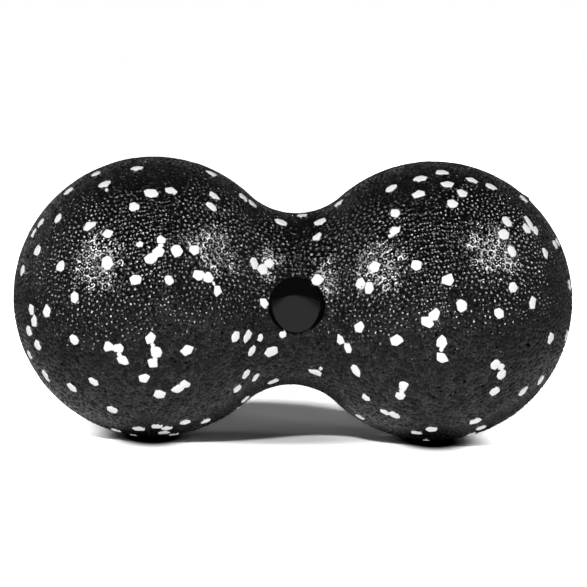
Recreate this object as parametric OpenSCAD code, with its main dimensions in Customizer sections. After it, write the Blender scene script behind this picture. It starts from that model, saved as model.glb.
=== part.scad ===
// Peanut massage ball: two balls and a waist moulded in one from black foam beads,
// speckled with white ones, and a round glossy disc set into the front of the waist.
// The ball lies along X on its side. The origin is at the middle of its axis, -Y is the front.

/* [Foam] */
// Diameter of each ball
ball_d = 120; // [100:1:150]
// Distance between the centres of the balls
ball_spacing = 119.6; // [112:0.1:124]
// Diameter of the waist at its narrowest
waist_d = 73.6; // [64:0.1:84]

/* [Parting line] */
// Height of the moulding seam above the foam
seam_h = 0.2; // [0.1:0.05:0.4]
// Width of the moulding seam
seam_w = 0.9; // [0.6:0.1:1.4]

/* [Centre disc] */
// Diameter of the round pocket in the front of the waist
pocket_d = 23.8; // [22:0.1:26]
// Depth of the pocket below the narrowest part of the waist
pocket_depth = 4; // [3.5:0.1:5]
// Gap round the disc
disc_gap = 0.15; // [0.1:0.05:0.3]
// Thickness of the disc at its rim
disc_t = 2; // [1.6:0.1:2.4]
// Height of the dome of the disc above its rim
disc_dome = 0.5; // [0.3:0.1:0.8]
// Rounding of the rim of the disc
disc_round = 0.6; // [0.3:0.1:0.9]

/* [White granules] */
// Usual diameter of a granule
granule_d = 4.5; // [3.5:0.1:5]
// Depth of a granule below the skin
granule_depth = 2; // [1.5:0.1:3]
// How many granules the hidden back has
back_granules = 92; // [40:1:120]

/* [Hidden] */
$fn = 240;

ball_r = ball_d / 2;
waist_r = waist_d / 2;
half_spacing = ball_spacing / 2;
half_length = half_spacing + ball_r;
// The waist is an arc that meets both balls without a step.
waist_arc_r = (pow(half_spacing, 2) + pow(waist_r, 2) - pow(ball_r, 2)) / (2 * (ball_r - waist_r));
waist_arc_z = waist_r + waist_arc_r;
meet_x = half_spacing - half_spacing * ball_r / (ball_r + waist_arc_r);
meet_r = waist_arc_z * ball_r / (ball_r + waist_arc_r);
// Bite of the waist's arc into the balls, so that they meet in a clean edge
join_bite = 0.005;
pocket_floor = waist_r - pocket_depth;
disc_r = pocket_d / 2 - disc_gap;
// Bare length kept at each end of the hidden back
back_margin = 1.5;

// Granules of the front: place along X, height Z and diameter, as seen from straight in front.
// Where there are two more values, the granule is that many times longer than wide, and its length
// lies at that angle from the axis. The smallest ones are the necks and tails between neighbours.
FRONT = [
  // Left ball, upper half
  [-87.5, 32.7, 5, 1.2, 20], [-80, 30, 4.5], [-81.5, 49.5, 4.7, 1.2, 15], [-80.7, 47.2, 1.6, 1.5, 95],
  [-85.5, 53, 4.5], [-97, 45.5, 4.5], [-68, 56, 4.5, 1.2, 0], [-69.2, 41, 4.3],
  [-101, 34.8, 4.3, 1.2, 65], [-108.5, 32, 4.5], [-111.5, 27.5, 4], [-109.5, 21, 4.8],
  [-99.5, 15.5, 4.5], [-116, 11.7, 4.5], [-80, 18, 5, 1.15, 80], [-68, 11.5, 4.5],
  [-66.5, 26, 3, 1.2, 10], [-62, 46.5, 5.2, 1.25, -8], [-53.5, 47.5, 4.8, 1.2, -20], [-36, 54, 5],
  [-35.3, 45.5, 4.3, 1.35, -30], [-36.4, 41.3, 4.3, 1.3, -40], [-57.5, 28, 4.3], [-57.7, 25.6, 2],
  [-58.8, 23, 4.6, 1.2, 40], [-60.3, 21.6, 2.4], [-61.6, 20.3, 4.8, 1.25, 15],
  [-51, 23.5, 4.7, 1.15, 100], [-43.5, 24, 4.5], [-54, 11.5, 4], [-41.5, 13.7, 4.6, 1.2, -10],
  [-37.5, 12.5, 4.3], [-35.3, 10, 1.5, 1.6, 115], [-33.6, 7, 4.5, 1.3, 105], [-93.5, 3, 4.6, 1.2, 85],
  // Left ball, lower half
  [-111.7, -4, 4.3, 1.2, 90], [-110.5, -9.2, 5, 1.3, 85], [-112.7, -13.5, 4.6, 1.2, 75],
  [-109, -19.3, 4.5], [-112.5, -24.5, 4], [-105, -4, 5, 1.25, 85], [-93.3, -15, 4.4, 1.15, 100],
  [-105.3, -33, 4.7, 1.4, -50], [-94, -36.5, 4.5, 1.25, -35], [-85, -33, 4, 1.2, -35], [-79, -17, 4.5],
  [-76.8, -17.5, 2.4], [-74.6, -17.7, 4.6], [-74.3, -20.2, 2.2], [-72.9, -22.7, 4.7, 1.2, -25],
  [-77, -45.5, 4.4, 1.2, -10], [-64, -30.3, 4.8], [-61.3, -12.8, 4.8, 1.15, 80], [-60.4, -15.8, 1.9],
  [-59, -18.9, 5, 1.3, -55], [-59.4, -21.8, 2], [-60.5, -23.7, 4.6], [-57.3, -37.5, 4.8],
  [-49.5, -35, 4.4, 1.2, 10], [-47.8, -34.2, 2.2], [-46.3, -33, 4.6], [-46, -18, 4.8, 1.15, 10],
  [-46, -51, 4.8, 1.15, 15], [-37, -51, 4.5, 1.2, 20], [-58, -53, 5], [-53.5, -54, 4.5],
  [-55, -56.5, 5], [-50.5, -58, 4], [-65.5, -54.5, 5], [-75, -56.5, 4.5], [-67.5, -59, 3],
  // Waist
  [-25.5, -12.5, 4.5, 1.15, 80], [-20.5, -12.8, 4.5, 1.4, 62], [-15, -13.7, 3, 1.3, 75],
  [-18.5, -19.3, 4, 1.3, 55], [-10, -19.9, 5.2, 1.2, 20], [-20.5, -29.5, 4.4, 1.3, 50],
  [-16.3, -31.5, 4, 1.4, 50], [-24, -36, 4], [-8.5, -34.2, 4.4, 1.2, 5], [-20, -42, 4.5],
  [-22.8, -46.6, 2.4], [-22.5, 44.3, 4.5], [-18.5, 41.5, 4], [-6.3, 34, 4.8, 1.3, -15], [3, 36.5, 4.5],
  [10, 34.5, 4.7, 1.25, 25], [8.5, 28.4, 4.4, 1.25, 65], [-18, 18, 4.7, 1.25, 105],
  [-12, 17.5, 4.7, 1.15, 60], [-14.5, 15.3, 4.6], [-13.7, 1.2, 4.2, 1.3, 115], [8.5, 11, 4.8],
  [-5.5, -12.5, 3], [9, -29.4, 4.8, 1.45, -10], [11, -27.4, 1.7, 1.5, 80],
  [18.4, -13.9, 4.2, 1.35, 110], [21.5, -17, 4.4, 1.35, -60], [25.2, -26.9, 4.7, 1.3, -50],
  [18, 42, 4.5],
  // Right ball, lower half
  [26, -7.8, 5], [30, -38.8, 4, 1.2, -35], [28.5, -49, 4.5], [38.3, -45, 4, 1.4, -15],
  [42, -46, 4.4, 1.2, -20], [41.2, -12.4, 4.9, 1.15, 30], [56.7, -1, 5.1, 1.3, 75],
  [53.4, -4.2, 5.2, 1.2, -20], [60, -12.6, 4.8, 1.2, 90], [59.9, -15.9, 1.8],
  [60.4, -19.3, 5.1, 1.35, -35], [45, -32.3, 4.5], [44.3, -34.6, 2.2], [44, -36.7, 4.5],
  [84, -0.5, 4.5], [108, -12.5, 4.7, 1.25, 75], [116.5, -13, 5], [83.5, -22.5, 4.5], [86, -23.5, 3],
  [86.3, -25.2, 2], [86.5, -27, 4.4, 1.15, 60], [84, -34.5, 4.4, 1.15, 25], [97, -35.5, 4.6, 1.3, 50],
  [105, -31.3, 4.2, 1.3, 60], [77, -48.5, 4.8, 1.2, 15], [80, -52.5, 4.5], [76.5, -56, 4.5],
  [58.5, -52.5, 5], [52.5, -54.5, 4.5], [57.5, -59, 3],
  // Right ball, upper half
  [39.5, 49.8, 4.8, 1.3, 30], [52, 54, 5.2, 1.2, 5], [50.5, 48, 5, 1.25, 10], [40.5, 40, 4.5],
  [40, 33, 4.8, 1.15, 25], [38.2, 30.8, 1.8], [32, 18, 5], [26, 10.5, 4.7, 1.2, 100],
  [29.5, 9, 4.6, 1.25, 95], [48.7, 19.3, 4.4], [62, 13.5, 5.3, 1.15, 50], [64.5, 44.5, 4.8],
  [63, 52, 5.2, 1.2, 0], [61.5, 56.5, 5.2, 1.2, 0], [69, 48.5, 4.8], [74, 53.5, 4.8, 1.15, -10],
  [82.1, 51, 4.6, 1.25, -20], [97, 45.5, 4.5], [88, 37, 4.7, 1.2, -60], [86.3, 32, 5],
  [97.4, 37.5, 3.5, 1.2, -60], [98.5, 35.7, 3], [96.9, 34, 4.8, 1.2, -55], [101, 33, 4, 1.2, -70],
  [99.3, 34, 2.4], [89.5, 25, 4.5, 1.15, -60], [105, 23.5, 4.2, 1.2, -75], [110.5, 26.5, 4],
  [112, 27.3, 3.5], [90, 10, 4.4], [117.4, 8.8, 4.5], [68, 2.9, 4.7, 1.25, 100], [99, 3.1, 4.7, 1.3, 85]
];

// A fixed scatter between 0 and 1
function scatter(i, k) = let (s = sin(i * 127.1 + k * 311.7) * 437.585) s - floor(s);
// Radius of the foam at the place x along the axis
function body_r(x) = abs(x) > meet_x
  ? sqrt(pow(ball_r, 2) - pow(abs(x) - half_spacing, 2))
  : waist_arc_z - sqrt(pow(waist_arc_r, 2) - pow(x, 2));
// Lean of the skin at the place x, towards +X
function body_lean(x) = abs(x) > meet_x
  ? atan2(x - sign(x) * half_spacing, body_r(x))
  : atan2(-x, waist_arc_z - body_r(x));
// Turn about the axis from the top, over the front, to the height z
function turn_at(x, z) = 90 - asin(z / body_r(x));

// Granules of the back: an even spread along the axis, shaken, with a neighbour beside every fourth one
function back_x(i) = (half_length - back_margin) * (2 * (i + scatter(i, 3)) / back_granules - 1);
function back_turn(i) = 184 + 172 * scatter(i, 5);
function back_d(i) = granule_d * (0.85 + 0.3 * scatter(i, 7));
BACK = [for (i = [0:back_granules - 1]) [back_x(i), back_turn(i), back_d(i)]];
BESIDE = [for (i = [0:4:back_granules - 1])
  let (x = back_x(i) * 0.97, way = 360 * scatter(i, 9), step = 0.85 * back_d(i))
  [x + step * cos(way), back_turn(i) + step * sin(way) / body_r(x) * 180 / PI, back_d(i + 1)]];
FRONT_TURNED = [for (g = FRONT) [g[0], turn_at(g[0], g[1]), g[2], g[3], g[4]]];
GRANULES = concat(FRONT_TURNED, BACK, BESIDE);

// Outline of the foam body along its axis, raised all round by more
module foam_outline(more) {
  difference() {
    union() {
      translate([half_spacing, 0]) circle(ball_r + more);
      translate([-half_spacing, 0]) circle(ball_r + more);
      translate([-half_spacing, -meet_r]) square([ball_spacing, 2 * meet_r]);
    }
    translate([0, waist_arc_z]) circle(waist_arc_r + join_bite - more);
    translate([0, -waist_arc_z]) circle(waist_arc_r + join_bite - more);
  }
}

// One half of the outline, turned about the axis
module foam_round() {
  rotate([0, 90, 0]) rotate_extrude() difference() {
    rotate(90) foam_outline(0);
    translate([-half_length, -half_length - 1]) square([half_length, 2 * half_length + 2]);
  }
}

// The seam of the mould runs lengthwise round the whole body, in the upright plane of its axis.
module seam() {
  translate([0, seam_w / 2, 0]) rotate([90, 0, 0]) linear_extrude(seam_w) foam_outline(seam_h);
}

module moulding() {
  union() {
    foam_round();
    seam();
  }
}

// The round pocket at the front of the waist
module pocket() {
  translate([0, -pocket_floor, 0]) rotate([90, 0, 0]) cylinder(h = ball_r - pocket_floor, d = pocket_d);
}

// Outline of granule i: an uneven polygon with five to seven corners, stretched along its length
module granule_outline(i) {
  g = GRANULES[i];
  stretch = is_undef(g[3]) ? 1 : sqrt(g[3]);
  corners = 5 + floor(3 * scatter(i, 1));
  rotate(is_undef(g[4]) ? 0 : g[4]) polygon([for (k = [0:corners - 1])
    let (turn = 360 / corners * (k + 0.5 * scatter(i, 10 + k)))
    g[2] / 2 * (0.95 + 0.3 * scatter(i, 20 + k)) * [cos(turn) * stretch, sin(turn) / stretch]]);
}

// Every granule as a plug that stands through the skin
module granule_plugs() {
  for (i = [0:len(GRANULES) - 1]) {
    g = GRANULES[i];
    rotate([g[1], 0, 0]) translate([g[0], 0, body_r(g[0])]) rotate([0, body_lean(g[0]), 0])
      translate([0, 0, -granule_depth]) linear_extrude(granule_depth + 1) granule_outline(i);
  }
}

module foam_body() {
  color("#1b1b1d") difference() {
    moulding();
    granule_plugs();
    pocket();
  }
}

module white_granules() {
  color("#f4f4f1") difference() {
    intersection() {
      moulding();
      granule_plugs();
    }
    pocket();
  }
}

// Half section of the disc: flat back, straight edge, rounded rim, low dome
module disc_section() {
  flat_r = disc_r - disc_round;
  dome_r = (pow(flat_r, 2) + pow(disc_dome, 2)) / (2 * disc_dome);
  intersection() {
    square([flat_r, disc_t + disc_dome]);
    translate([0, disc_t + disc_dome - dome_r]) circle(dome_r, $fn = 720);
  }
  square([disc_r, disc_t - disc_round]);
  intersection() {
    translate([flat_r, disc_t - disc_round]) circle(disc_round);
    square([disc_r, disc_t]);
  }
}

module centre_disc() {
  color("#0c0c0e") translate([0, -pocket_floor, 0]) rotate([90, 0, 0]) rotate_extrude() disc_section();
}

foam_body();
white_granules();
centre_disc();
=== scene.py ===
import math

import bpy
import numpy as np
from mathutils import Matrix, Vector
from mathutils.geometry import delaunay_2d_cdt
from mathutils.kdtree import KDTree


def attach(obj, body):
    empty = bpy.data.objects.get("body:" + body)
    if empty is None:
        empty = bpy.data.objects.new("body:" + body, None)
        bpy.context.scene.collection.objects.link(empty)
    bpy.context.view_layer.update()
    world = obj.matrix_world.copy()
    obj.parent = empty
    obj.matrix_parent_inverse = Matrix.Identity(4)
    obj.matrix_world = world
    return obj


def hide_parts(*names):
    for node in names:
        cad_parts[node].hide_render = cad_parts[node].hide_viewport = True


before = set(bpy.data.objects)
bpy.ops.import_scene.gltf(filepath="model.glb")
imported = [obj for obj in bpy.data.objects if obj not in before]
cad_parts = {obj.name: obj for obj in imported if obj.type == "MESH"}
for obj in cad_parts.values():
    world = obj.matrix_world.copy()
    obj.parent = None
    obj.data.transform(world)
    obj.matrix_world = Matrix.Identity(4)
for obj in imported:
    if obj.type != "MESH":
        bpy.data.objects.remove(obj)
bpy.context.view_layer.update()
scene = bpy.context.scene
MM = 0.001

# The shape, as in the part's source (mm)
BALL_R = 60.0
HALF_SPACING = 59.8
WAIST_R = 36.8
ARC_R = (HALF_SPACING**2 + WAIST_R**2 - BALL_R**2) / (2 * (BALL_R - WAIST_R))
ARC_Z = WAIST_R + ARC_R
MEET_X = HALF_SPACING - HALF_SPACING * BALL_R / (BALL_R + ARC_R)
END_X = HALF_SPACING + BALL_R
POCKET_R = 11.9
POCKET_FLOOR = 32.8
DISC_R = 11.75
DISC_T = 2.0
DISC_DOME = 0.5
DISC_ROUND = 0.6
GRANULE_D = 4.5
GRANULE_DEPTH = 2.0
BACK_GRANULES = 92
BACK_MARGIN = 1.5
FLOOR_Z = -60.2
# Points near a pole stay this far from it along X
END_CLEAR = 1e-4

# Granules of the front: place along X, height Z and diameter, and for some how many times longer than wide
# and the angle of their length, as in the part's source
FRONT = [
    # Left ball, upper half
    [-87.5, 32.7, 5, 1.2, 20], [-80, 30, 4.5], [-81.5, 49.5, 4.7, 1.2, 15], [-80.7, 47.2, 1.6, 1.5, 95],
    [-85.5, 53, 4.5], [-97, 45.5, 4.5], [-68, 56, 4.5, 1.2, 0], [-69.2, 41, 4.3],
    [-101, 34.8, 4.3, 1.2, 65], [-108.5, 32, 4.5], [-111.5, 27.5, 4], [-109.5, 21, 4.8],
    [-99.5, 15.5, 4.5], [-116, 11.7, 4.5], [-80, 18, 5, 1.15, 80], [-68, 11.5, 4.5],
    [-66.5, 26, 3, 1.2, 10], [-62, 46.5, 5.2, 1.25, -8], [-53.5, 47.5, 4.8, 1.2, -20], [-36, 54, 5],
    [-35.3, 45.5, 4.3, 1.35, -30], [-36.4, 41.3, 4.3, 1.3, -40], [-57.5, 28, 4.3], [-57.7, 25.6, 2],
    [-58.8, 23, 4.6, 1.2, 40], [-60.3, 21.6, 2.4], [-61.6, 20.3, 4.8, 1.25, 15],
    [-51, 23.5, 4.7, 1.15, 100], [-43.5, 24, 4.5], [-54, 11.5, 4], [-41.5, 13.7, 4.6, 1.2, -10],
    [-37.5, 12.5, 4.3], [-35.3, 10, 1.5, 1.6, 115], [-33.6, 7, 4.5, 1.3, 105], [-93.5, 3, 4.6, 1.2, 85],
    # Left ball, lower half
    [-111.7, -4, 4.3, 1.2, 90], [-110.5, -9.2, 5, 1.3, 85], [-112.7, -13.5, 4.6, 1.2, 75],
    [-109, -19.3, 4.5], [-112.5, -24.5, 4], [-105, -4, 5, 1.25, 85], [-93.3, -15, 4.4, 1.15, 100],
    [-105.3, -33, 4.7, 1.4, -50], [-94, -36.5, 4.5, 1.25, -35], [-85, -33, 4, 1.2, -35], [-79, -17, 4.5],
    [-76.8, -17.5, 2.4], [-74.6, -17.7, 4.6], [-74.3, -20.2, 2.2], [-72.9, -22.7, 4.7, 1.2, -25],
    [-77, -45.5, 4.4, 1.2, -10], [-64, -30.3, 4.8], [-61.3, -12.8, 4.8, 1.15, 80], [-60.4, -15.8, 1.9],
    [-59, -18.9, 5, 1.3, -55], [-59.4, -21.8, 2], [-60.5, -23.7, 4.6], [-57.3, -37.5, 4.8],
    [-49.5, -35, 4.4, 1.2, 10], [-47.8, -34.2, 2.2], [-46.3, -33, 4.6], [-46, -18, 4.8, 1.15, 10],
    [-46, -51, 4.8, 1.15, 15], [-37, -51, 4.5, 1.2, 20], [-58, -53, 5], [-53.5, -54, 4.5],
    [-55, -56.5, 5], [-50.5, -58, 4], [-65.5, -54.5, 5], [-75, -56.5, 4.5], [-67.5, -59, 3],
    # Waist
    [-25.5, -12.5, 4.5, 1.15, 80], [-20.5, -12.8, 4.5, 1.4, 62], [-15, -13.7, 3, 1.3, 75],
    [-18.5, -19.3, 4, 1.3, 55], [-10, -19.9, 5.2, 1.2, 20], [-20.5, -29.5, 4.4, 1.3, 50],
    [-16.3, -31.5, 4, 1.4, 50], [-24, -36, 4], [-8.5, -34.2, 4.4, 1.2, 5], [-20, -42, 4.5],
    [-22.8, -46.6, 2.4], [-22.5, 44.3, 4.5], [-18.5, 41.5, 4], [-6.3, 34, 4.8, 1.3, -15], [3, 36.5, 4.5],
    [10, 34.5, 4.7, 1.25, 25], [8.5, 28.4, 4.4, 1.25, 65], [-18, 18, 4.7, 1.25, 105],
    [-12, 17.5, 4.7, 1.15, 60], [-14.5, 15.3, 4.6], [-13.7, 1.2, 4.2, 1.3, 115], [8.5, 11, 4.8],
    [-5.5, -12.5, 3], [9, -29.4, 4.8, 1.45, -10], [11, -27.4, 1.7, 1.5, 80],
    [18.4, -13.9, 4.2, 1.35, 110], [21.5, -17, 4.4, 1.35, -60], [25.2, -26.9, 4.7, 1.3, -50],
    [18, 42, 4.5],
    # Right ball, lower half
    [26, -7.8, 5], [30, -38.8, 4, 1.2, -35], [28.5, -49, 4.5], [38.3, -45, 4, 1.4, -15],
    [42, -46, 4.4, 1.2, -20], [41.2, -12.4, 4.9, 1.15, 30], [56.7, -1, 5.1, 1.3, 75],
    [53.4, -4.2, 5.2, 1.2, -20], [60, -12.6, 4.8, 1.2, 90], [59.9, -15.9, 1.8],
    [60.4, -19.3, 5.1, 1.35, -35], [45, -32.3, 4.5], [44.3, -34.6, 2.2], [44, -36.7, 4.5],
    [84, -0.5, 4.5], [108, -12.5, 4.7, 1.25, 75], [116.5, -13, 5], [83.5, -22.5, 4.5], [86, -23.5, 3],
    [86.3, -25.2, 2], [86.5, -27, 4.4, 1.15, 60], [84, -34.5, 4.4, 1.15, 25], [97, -35.5, 4.6, 1.3, 50],
    [105, -31.3, 4.2, 1.3, 60], [77, -48.5, 4.8, 1.2, 15], [80, -52.5, 4.5], [76.5, -56, 4.5],
    [58.5, -52.5, 5], [52.5, -54.5, 4.5], [57.5, -59, 3],
    # Right ball, upper half
    [39.5, 49.8, 4.8, 1.3, 30], [52, 54, 5.2, 1.2, 5], [50.5, 48, 5, 1.25, 10], [40.5, 40, 4.5],
    [40, 33, 4.8, 1.15, 25], [38.2, 30.8, 1.8], [32, 18, 5], [26, 10.5, 4.7, 1.2, 100],
    [29.5, 9, 4.6, 1.25, 95], [48.7, 19.3, 4.4], [62, 13.5, 5.3, 1.15, 50], [64.5, 44.5, 4.8],
    [63, 52, 5.2, 1.2, 0], [61.5, 56.5, 5.2, 1.2, 0], [69, 48.5, 4.8], [74, 53.5, 4.8, 1.15, -10],
    [82.1, 51, 4.6, 1.25, -20], [97, 45.5, 4.5], [88, 37, 4.7, 1.2, -60], [86.3, 32, 5],
    [97.4, 37.5, 3.5, 1.2, -60], [98.5, 35.7, 3], [96.9, 34, 4.8, 1.2, -55], [101, 33, 4, 1.2, -70],
    [99.3, 34, 2.4], [89.5, 25, 4.5, 1.15, -60], [105, 23.5, 4.2, 1.2, -75], [110.5, 26.5, 4],
    [112, 27.3, 3.5], [90, 10, 4.4], [117.4, 8.8, 4.5], [68, 2.9, 4.7, 1.25, 100], [99, 3.1, 4.7, 1.3, 85],
]


def scatter(i, k):
    """A fixed scatter between 0 and 1, as in the source."""
    s = math.sin(math.radians(i * 127.1 + k * 311.7)) * 437.585
    return s - math.floor(s)


def radius(x):
    """Radius of the body at places along X."""
    a = np.abs(np.asarray(x, float))
    ball = np.sqrt(np.maximum(BALL_R**2 - (a - HALF_SPACING) ** 2, 0))
    waist = ARC_Z - np.sqrt(np.maximum(ARC_R**2 - a * a, 0))
    return np.where(a > MEET_X, ball, waist)


def lean(x):
    """Lean of the skin from the radial direction towards +X, in radians."""
    x = np.asarray(x, float)
    r = radius(x)
    ball = np.arctan2(x - np.sign(x) * HALF_SPACING, r)
    waist = np.arctan2(-x, ARC_Z - r)
    return np.where(np.abs(x) > MEET_X, ball, waist)


def skin(x, turn, up=0.0):
    """Points of the skin, raised by up along its normal, and the normals. turn goes from +Y over +Z."""
    x = np.asarray(x, float)
    turn = np.asarray(turn, float)
    r, ln = radius(x), lean(x)
    n = np.stack([np.sin(ln), np.cos(ln) * np.cos(turn), np.cos(ln) * np.sin(turn)], -1)
    p = np.stack([x, r * np.cos(turn), r * np.sin(turn)], -1)
    return p + n * np.asarray(up, float)[..., None], n


def front_turn(x, z):
    """Turn of places on the front, given along X and by their height Z."""
    return math.pi - np.arcsin(np.asarray(z) / radius(x))


def unit(v):
    """Vectors made 1 long, along the last axis."""
    return v / np.linalg.norm(v, axis=-1, keepdims=True)


def mesh_object(name, points, faces):
    """A smooth mesh object of triangles, from points in mm."""
    me = bpy.data.meshes.new(name)
    me.vertices.add(len(points))
    me.vertices.foreach_set("co", (np.asarray(points, float) * MM).ravel())
    me.loops.add(3 * len(faces))
    me.loops.foreach_set("vertex_index", np.asarray(faces).ravel().astype(np.int32))
    me.polygons.add(len(faces))
    me.polygons.foreach_set("loop_start", np.arange(0, 3 * len(faces), 3, dtype=np.int32))
    me.polygons.foreach_set("use_smooth", np.ones(len(faces), bool))
    me.update(calc_edges=True)
    obj = bpy.data.objects.new(name, me)
    scene.collection.objects.link(obj)
    return obj


def vector_attribute(me, name, domain, values):
    at = me.attributes.new(name, "FLOAT_VECTOR", domain)
    at.data.foreach_set("vector", np.asarray(values, np.float32).ravel())


def merged(pieces):
    """One set of points and faces from several."""
    points, faces, start = [], [], 0
    for p, f in pieces:
        points.append(p)
        faces.append(np.asarray(f) + start)
        start += len(p)
    return np.concatenate(points), np.concatenate(faces)


# The profile of the body, from the -X pole to the +X pole
BALL_STEPS, WAIST_STEPS = 4000, 1200


def running_total(steps):
    return np.concatenate([[0], np.cumsum(steps)])


def profile():
    """Places along X, and the length, the area of the skin and the stretch up to each of them. The stretch is
    the length measured in local radii. It makes a flat map of the skin that keeps angles."""
    ends = np.linspace(0, math.pi - math.acos((HALF_SPACING - MEET_X) / BALL_R), BALL_STEPS)
    half = np.concatenate([HALF_SPACING + BALL_R * np.cos(ends), np.linspace(MEET_X, 0, WAIST_STEPS)[1:]])
    x = np.concatenate([-half, half[::-1][1:]])
    r = radius(x)
    r[0] = r[-1] = 0
    step = np.hypot(np.diff(x), np.diff(r))
    two_r = r[1:] + r[:-1]
    stretch = running_total(step / np.maximum(0.5 * two_r, 1e-3))
    stretch -= np.interp(0, x, stretch)
    return x, running_total(step), running_total(step * two_r * math.pi), stretch


line_x, length, area, stretch = profile()

# The pimples: sites spread over the skin, a cell around each site and a dome in each cell (mm)
PITCH = 2.5
SITE_JITTER = 0.42
EVENING_ROUNDS = 2
POLE_GAP = 0.8
LEAST_TURN_R = 4
CORNER_REACH = 1.1
DOME_H = 0.33
DOME_R = 1.04
DOME_R_PER_GAP, DOME_R_LEAST, DOME_R_MOST = 0.53, 0.75, 1.3
# The valleys lie this far below the body's true surface, and the tops of the domes reach about up to it
VALLEY_DEPTH = DOME_H * 1.15
RING_AT = 0.62
FINE_BEFORE_Y = 3.0
# What varies at random: the least value and how much may come on top
DOME_R_VARIES, DOME_H_VARIES = (0.94, 0.12), (0.8, 0.4)
SEED = 11
rng = np.random.default_rng(SEED)


def vary(least_and_span, count):
    least, span = least_and_span
    return least + span * rng.random(count)


def edges_of(tris):
    """Edges of triangles, each in the direction in which its triangle runs."""
    return np.concatenate([tris[:, [0, 1]], tris[:, [1, 2]], tris[:, [2, 0]]])


def triangulate(x, turn):
    """Delaunay triangles of points on the skin, by a map that keeps angles. The last point is the +X pole."""
    u = np.interp(x[:-1], line_x, stretch)
    w = np.exp(u)[:, None] * np.stack([np.cos(turn[:-1]), np.sin(turn[:-1])], 1)
    out = delaunay_2d_cdt([Vector(q) for q in w], [], [], 0, 1e-9)
    tris = np.array([t for t in out[2] if len(t) == 3])
    origin = np.array([o[0] for o in out[3]])
    tris = origin[tris]
    a, b, c = w[tris[:, 0]], w[tris[:, 1]], w[tris[:, 2]]
    sign = (b[:, 0] - a[:, 0]) * (c[:, 1] - a[:, 1]) - (b[:, 1] - a[:, 1]) * (c[:, 0] - a[:, 0])
    tris[sign < 0] = tris[sign < 0][:, ::-1]
    n = len(x)
    edges = edges_of(tris)
    keys = edges[:, 0] * n + edges[:, 1]
    twins = edges[:, 1] * n + edges[:, 0]
    rim = edges[~np.isin(twins, keys)]
    cap = np.stack([rim[:, 1], rim[:, 0], np.full(len(rim), n - 1)], 1)
    return np.concatenate([tris, cap])


def even_out(x, turn):
    """Moves each site to the middle of the triangles around it. The pole stays where it is."""
    tris = triangulate(x, turn)
    points, _ = skin(x, turn)
    t3 = points[tris]
    size = np.linalg.norm(np.cross(t3[:, 1] - t3[:, 0], t3[:, 2] - t3[:, 0]), axis=1)
    mid = t3.mean(1) * size[:, None]
    total, weight = np.zeros_like(points), np.zeros(len(points))
    for c in range(3):
        np.add.at(total, tris[:, c], mid)
        np.add.at(weight, tris[:, c], size)
    moved = total / weight[:, None]
    moved[-1] = points[-1]
    return np.clip(moved[:, 0], -END_X + END_CLEAR, END_X), np.arctan2(moved[:, 2], moved[:, 1])


def spread_sites():
    """Sites along a spiral over the skin, shaken and evened out. The last one is the +X pole."""
    count = int(area[-1] / (PITCH**2 * math.sqrt(3) / 2))
    k = np.arange(count)
    x = np.interp((k + 0.5) / count * area[-1], area, line_x)
    turn = k * math.pi * (3 - math.sqrt(5))
    arc = np.interp(x, line_x, length) + rng.normal(0, SITE_JITTER * PITCH, count)
    turn = turn + rng.normal(0, SITE_JITTER * PITCH, count) / np.maximum(radius(x), LEAST_TURN_R)
    x = np.interp(np.clip(arc, POLE_GAP, length[-1] - POLE_GAP), length, line_x)
    x = np.append(x, END_X)
    turn = np.append(turn, 0.0)
    for _ in range(EVENING_ROUNDS):
        x, turn = even_out(x, turn)
    return x, turn


def cell_corners(site, tris):
    """Corners of the cells: the centre of the circle through three sites, held near their middle."""
    a, b, c = (site[tris[:, q]] for q in range(3))
    ab, ac = b - a, c - a
    cr = np.cross(ab, ac)
    reach = np.cross(cr, ab) * (ac**2).sum(1)[:, None] + np.cross(ac, cr) * (ab**2).sum(1)[:, None]
    centre = a + reach / (2 * (cr**2).sum(1)[:, None])
    flat = (a + b + c) / 3
    off = np.linalg.norm(centre - flat, axis=1)[:, None]
    centre = flat + (centre - flat) * np.minimum(1, CORNER_REACH / np.maximum(off, 1e-6))
    x = np.clip(centre[:, 0], -END_X + END_CLEAR, END_X - END_CLEAR)
    return skin(x, np.arctan2(centre[:, 2], centre[:, 1]))


def dome_sizes(site, edges):
    """Radius and height of the domes. Each is nearly as wide as its nearest neighbour lets it be."""
    gap = np.full(len(site), np.inf)
    np.minimum.at(gap, edges[:, 0], np.linalg.norm(site[edges[:, 0]] - site[edges[:, 1]], axis=1))
    dome_r = np.clip(DOME_R_PER_GAP * gap, DOME_R_LEAST, DOME_R_MOST) * vary(DOME_R_VARIES, len(site))
    dome_h = DOME_H * (dome_r / DOME_R) * vary(DOME_H_VARIES, len(site))
    return dome_r, dome_h


def cell_fans(tris, edges, n_site):
    """Triangles from each site to the sides of its cell. The cells' corners are counted after the sites."""
    owner = np.tile(np.arange(len(tris)), 3)
    keys = edges[:, 0] * n_site + edges[:, 1]
    order = np.argsort(keys)
    twin = owner[order][np.searchsorted(keys[order], edges[:, 1] * n_site + edges[:, 0])]
    return np.stack([edges[:, 0], n_site + twin, n_site + owner], 1)


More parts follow.
